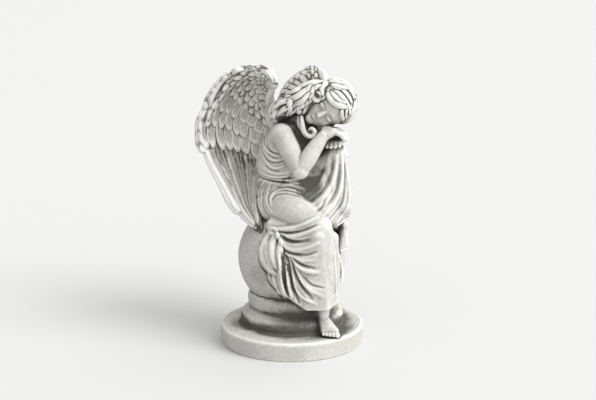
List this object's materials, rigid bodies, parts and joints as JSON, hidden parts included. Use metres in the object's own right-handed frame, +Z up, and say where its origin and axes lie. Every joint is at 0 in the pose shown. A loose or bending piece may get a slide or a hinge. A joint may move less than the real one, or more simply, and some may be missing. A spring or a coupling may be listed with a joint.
{
  "type": "angel garden statue",
  "caption": "Cast stone garden statue of a seated angel asleep on its folded arms, on a ball and a round stepped plinth.",
  "frame": {"origin": "centre of the round underside of the base", "axes": "+Z up along the statue, -Y to the side it is seen from, +X to the right as seen from there"},
  "size_m": [0.2533, 0.2621, 0.4254],
  "materials": {
    "cast_stone": "matt cast stone with dark wash in the hollows"
  },
  "bodies": {
    "root": {"angel_statue": "cast_stone"}
  },
  "joints": []
}
